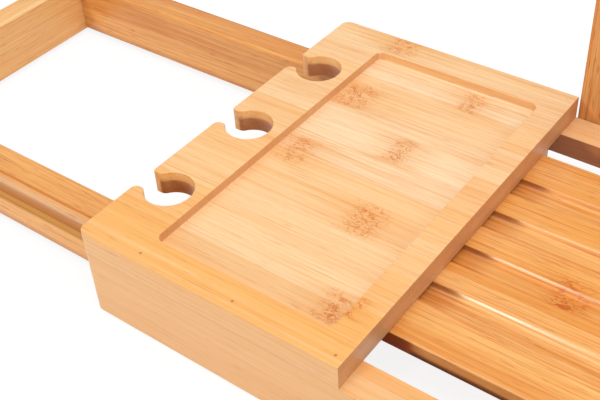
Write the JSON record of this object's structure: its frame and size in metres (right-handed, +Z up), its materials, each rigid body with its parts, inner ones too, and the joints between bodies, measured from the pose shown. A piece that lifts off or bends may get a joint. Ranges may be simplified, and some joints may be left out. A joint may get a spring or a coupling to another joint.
{
  "type": "bath caddy",
  "caption": "Bamboo bath caddy with sliding arm frames, a glass board with stem notches, a fluted panel and a folding book rest.",
  "frame": {"origin": "under the middle of the caddy with its arms out, on the level of its underside", "axes": "+X along the caddy towards the soap board's end, +Y away from the bather towards the book rest, +Z up"},
  "size_m": [1.0868, 0.2322, 0.2568],
  "materials": {
    "board_bamboo": "pale laminated bamboo, oiled satin",
    "frame_bamboo": "warm edge-grain bamboo, oiled satin",
    "dowel_wood": "plain beech dowel",
    "steel": "zinc plated",
    "grip_rubber": "matt black rubber"
  },
  "bodies": {
    "tray": {"glass_board": "board_bamboo", "soap_board": "board_bamboo", "slat_panel": "frame_bamboo", "front_apron": "frame_bamboo", "back_apron": "frame_bamboo", "left_front_tongue": "frame_bamboo", "left_brad_front_1": "steel", "left_brad_front_2": "steel", "left_brad_front_3": "steel", "left_back_tongue": "frame_bamboo", "left_brad_back_1": "steel", "left_brad_back_2": "steel", "left_brad_back_3": "steel", "left_panel_screw_1": "steel", "left_bracket_screw_1": "steel", "left_panel_screw_2": "steel", "left_bracket_screw_2": "steel", "left_hinge_bracket": "steel", "left_pivot_pin": "steel", "right_front_tongue": "frame_bamboo", "right_brad_front_1": "steel", "right_brad_front_2": "steel", "right_brad_front_3": "steel", "right_back_tongue": "frame_bamboo", "right_brad_back_1": "steel", "right_brad_back_2": "steel", "right_brad_back_3": "steel", "right_panel_screw_1": "steel", "right_bracket_screw_1": "steel", "right_panel_screw_2": "steel", "right_bracket_screw_2": "steel", "right_hinge_bracket": "steel", "right_pivot_pin": "steel"},
    "left_arm": {"left_arm_front_rail": "frame_bamboo", "left_arm_front_pad": "grip_rubber", "left_arm_front_dowel_1": "dowel_wood", "left_arm_front_dowel_2": "dowel_wood", "left_arm_back_rail": "frame_bamboo", "left_arm_back_pad": "grip_rubber", "left_arm_back_dowel_1": "dowel_wood", "left_arm_back_dowel_2": "dowel_wood", "left_arm_end_bar": "frame_bamboo"},
    "right_arm": {"right_arm_front_rail": "frame_bamboo", "right_arm_front_pad": "grip_rubber", "right_arm_front_dowel_1": "dowel_wood", "right_arm_front_dowel_2": "dowel_wood", "right_arm_back_rail": "frame_bamboo", "right_arm_back_pad": "grip_rubber", "right_arm_back_dowel_1": "dowel_wood", "right_arm_back_dowel_2": "dowel_wood", "right_arm_end_bar": "frame_bamboo"},
    "book_rest": {"rest_foot_rail": "frame_bamboo", "rest_crest_rail": "frame_bamboo", "rest_slat_1": "frame_bamboo", "rest_slat_2": "frame_bamboo", "rest_slat_3": "frame_bamboo", "left_rest_post": "frame_bamboo", "right_rest_post": "frame_bamboo"}
  },
  "joints": [
    {"name": "left_arm_slide", "type": "slide", "parent": "tray", "child": "left_arm", "axis": [-1, 0, 0], "range_m": [-0.1929, 0]},
    {"name": "right_arm_slide", "type": "slide", "parent": "tray", "child": "right_arm", "axis": [1, 0, 0], "range_m": [-0.1929, 0]},
    {"name": "book_rest_hinge", "type": "hinge", "parent": "tray", "child": "book_rest", "pos_m": [0, 0.10915, 0.0435], "axis": [1, 0, 0], "range_deg": [0, 90]}
  ]
}
